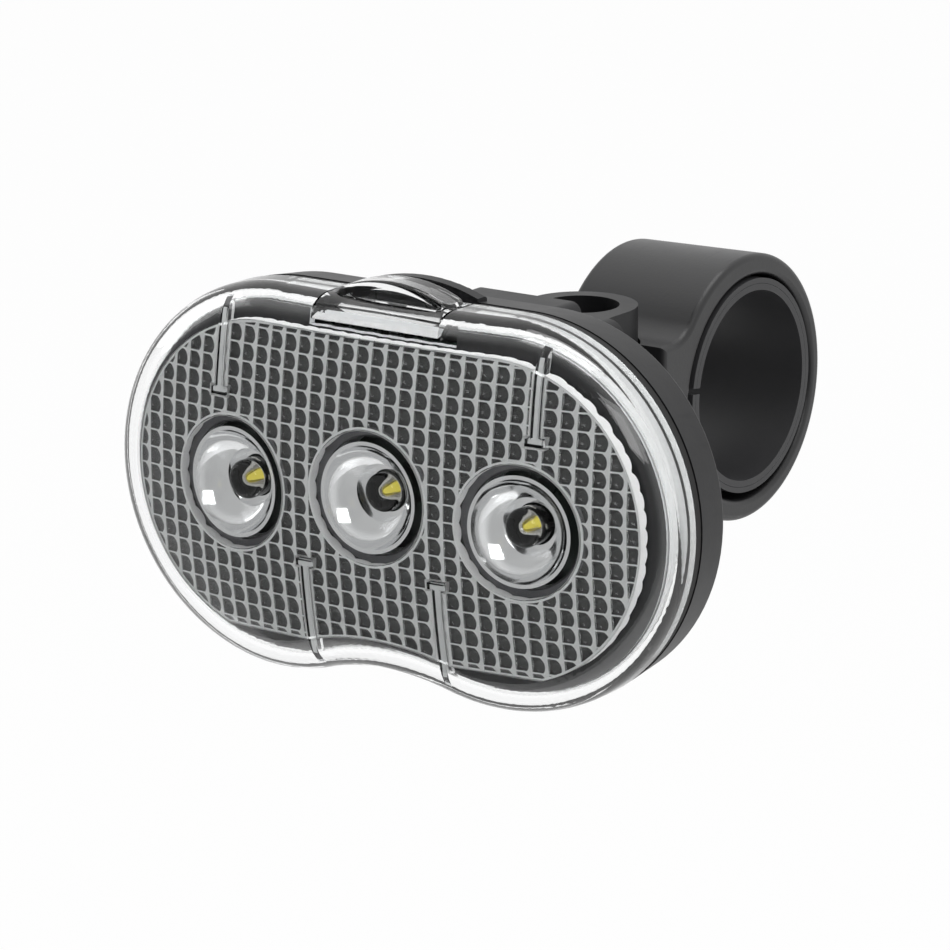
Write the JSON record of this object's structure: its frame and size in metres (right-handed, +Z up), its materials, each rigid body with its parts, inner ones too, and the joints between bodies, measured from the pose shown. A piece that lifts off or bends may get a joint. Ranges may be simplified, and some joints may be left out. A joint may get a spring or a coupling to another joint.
{
  "type": "bicycle headlight",
  "caption": "Battery bicycle headlight: crowned clear front over a pillow-lens sheet and bright cups, top push button, slide-off swivel mount, split handlebar clamp.",
  "frame": {"origin": "centre of the handlebar bore", "axes": "+X along the handlebar, to the right as seen by someone who faces the lamp's front; -Y the way the lamp shines; +Z up"},
  "size_m": [0.0848, 0.091, 0.0552],
  "materials": {
    "clear_plastic": "clear, polished",
    "optic_plastic": "clear, square pillow lenses on the back",
    "black_plastic": "black, fine moulded texture",
    "switch_plastic": "black",
    "board": "lacquered circuit board",
    "steel": "zinc plated",
    "spring_metal": "bright, stamped",
    "seal_rubber": "black",
    "liner_rubber": "dark grey, smooth",
    "plated_cup": "bright plated plastic",
    "led_epoxy": "clear, water white",
    "cell_wrap": "plain foil wrap"
  },
  "bodies": {
    "clamp": {"clamp_ring": "black_plastic", "inner_shim": "liner_rubber", "outer_shim": "liner_rubber", "swivel_screw": "steel", "swivel_washer": "steel", "swivel_nut": "steel", "clamp_screw": "steel"},
    "clamp_knob": {"clamp_nut": "black_plastic"},
    "shoe": {"slide_shoe": "black_plastic"},
    "housing": {"rear_housing": "black_plastic", "housing_gasket": "seal_rubber", "battery_cradle": "black_plastic", "battery_top": "cell_wrap", "battery_middle": "cell_wrap", "battery_bottom": "cell_wrap", "contact_left": "spring_metal", "contact_right": "spring_metal"},
    "front_unit": {"front_cover": "clear_plastic", "optic_insert": "optic_plastic", "lens_frame": "black_plastic", "collimator_left": "plated_cup", "collimator_center": "plated_cup", "collimator_right": "plated_cup", "led_left": "led_epoxy", "led_center": "led_epoxy", "led_right": "led_epoxy", "led_board": "board", "board_screws": "steel", "tact_switch": "switch_plastic"},
    "button": {"switch_button": "clear_plastic", "tact_plunger": "switch_plastic"}
  },
  "joints": [
    {"name": "clamp_nut_spin", "type": "hinge", "parent": "clamp", "child": "clamp_knob", "pos_m": [0, -0.01153, -0.02112], "axis": [0, -0.866, 0.5], "continuous": true},
    {"name": "lamp_swivel", "type": "hinge", "parent": "clamp", "child": "shoe", "pos_m": [-0.0012, -0.02378, 0], "axis": [0, 0, 1], "range_deg": [-30, 30]},
    {"name": "lamp_slide", "type": "slide", "parent": "shoe", "child": "housing", "axis": [0, 0, 1], "range_m": [0, 0.03]},
    {"name": "front_pull", "type": "slide", "parent": "housing", "child": "front_unit", "axis": [0, -1, 0], "range_m": [0, 0.012]},
    {"name": "switch_press", "type": "slide", "parent": "front_unit", "child": "button", "axis": [0, 0, -1], "range_m": [0, 0.0008], "stiffness_N_per_m": 1500, "springref_m": -0.0004}
  ]
}
